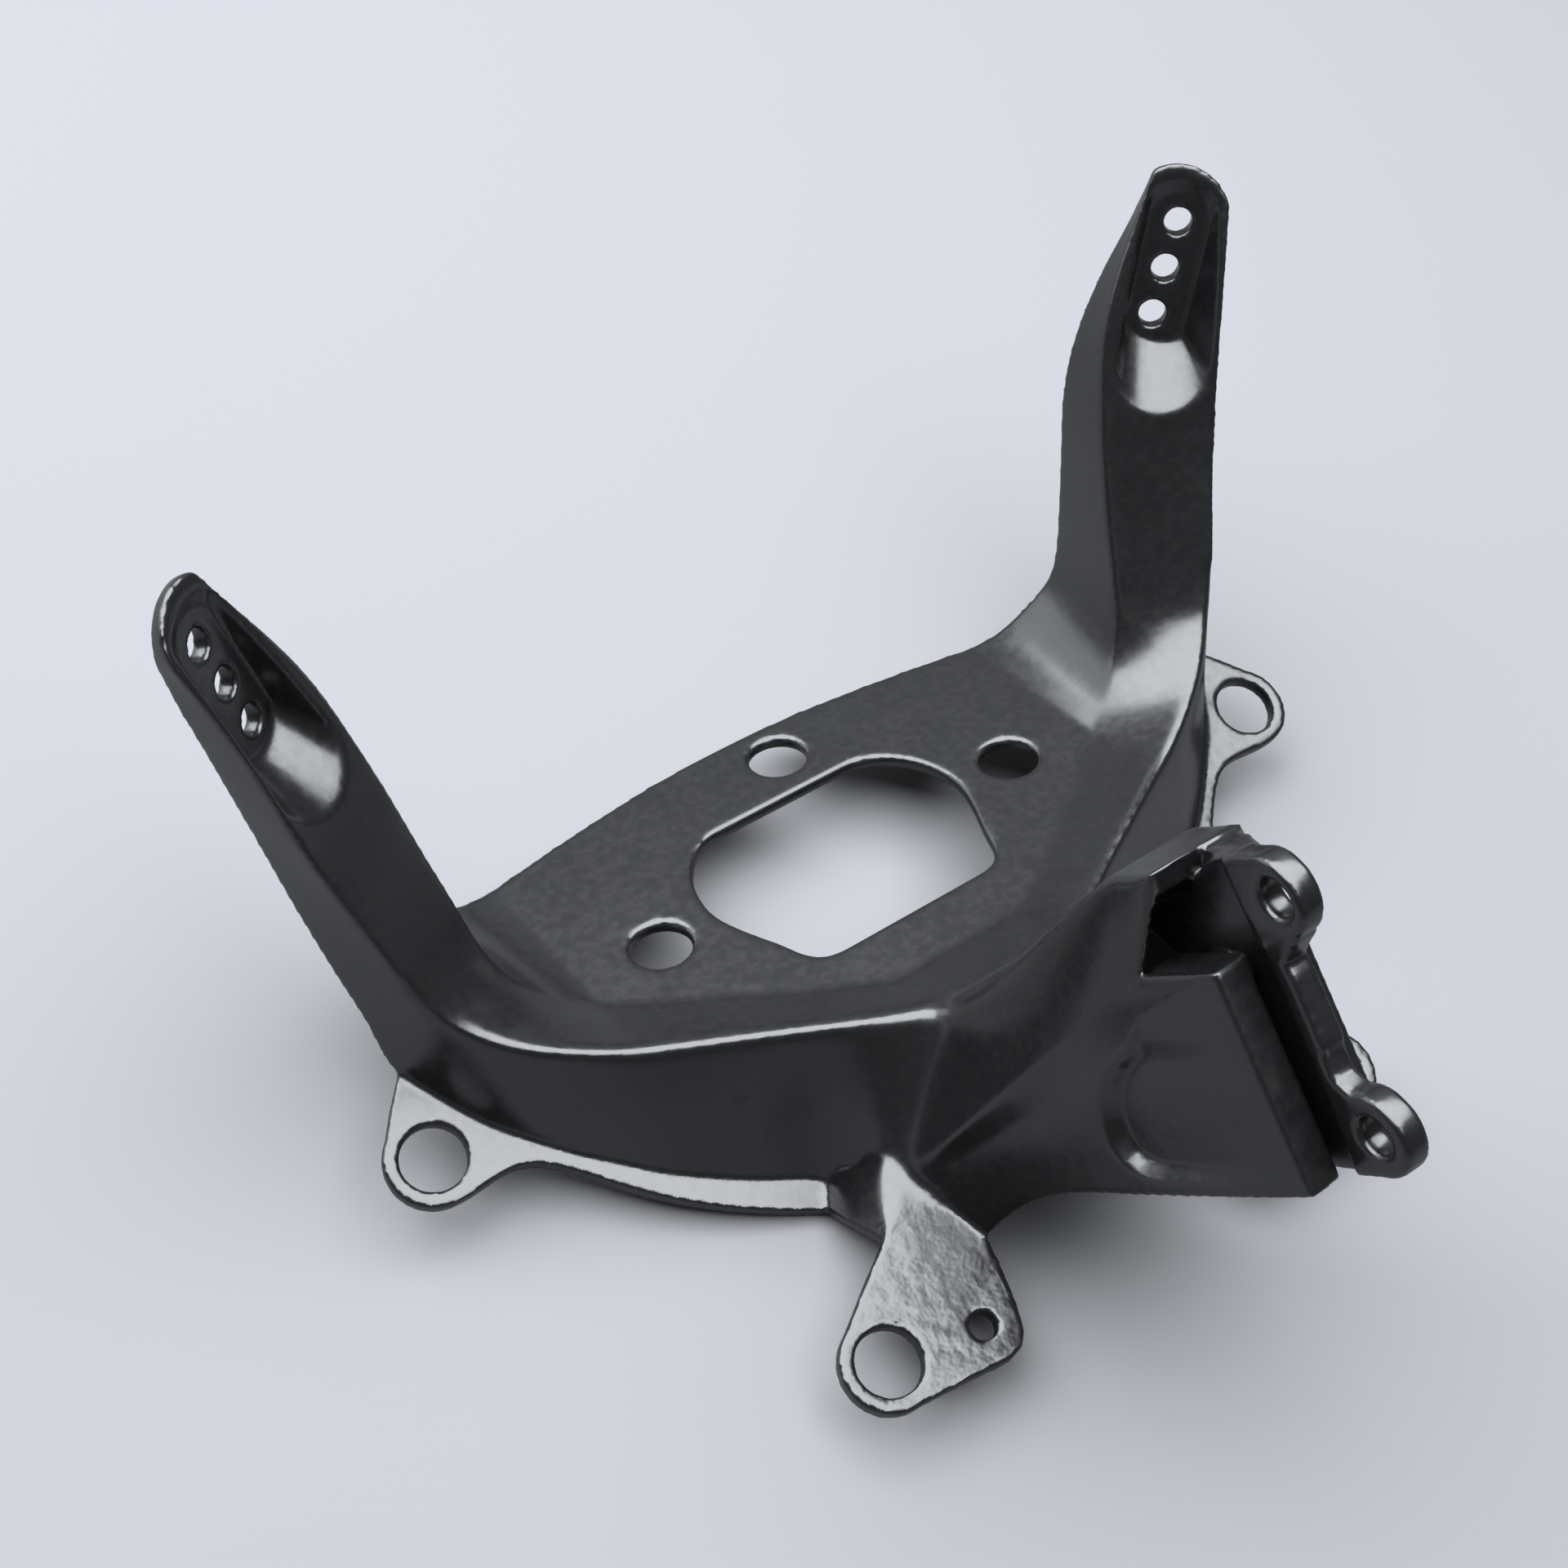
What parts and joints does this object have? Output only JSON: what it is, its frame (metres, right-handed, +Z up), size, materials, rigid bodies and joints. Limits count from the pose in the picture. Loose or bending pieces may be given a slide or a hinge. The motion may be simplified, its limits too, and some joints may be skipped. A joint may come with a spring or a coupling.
{
  "type": "fairing stay bracket",
  "caption": "Cast fairing stay: a flat plate with a window, two raised arms with recessed screw rows, a boxed neck ending in a bolt lug, and drilled tabs at its foot.",
  "frame": {"origin": "middle of the bounding box at the level of the ground it rests on", "axes": "+Z up, +X towards the right arm and along the two neck bolts, +Y away from the neck towards the plate's front edge"},
  "size_m": [0.2836, 0.2292, 0.1571],
  "materials": {
    "satin_black": "satin black paint over an aluminium casting"
  },
  "bodies": {
    "root": {"fairing_stay": "satin_black"}
  },
  "joints": []
}
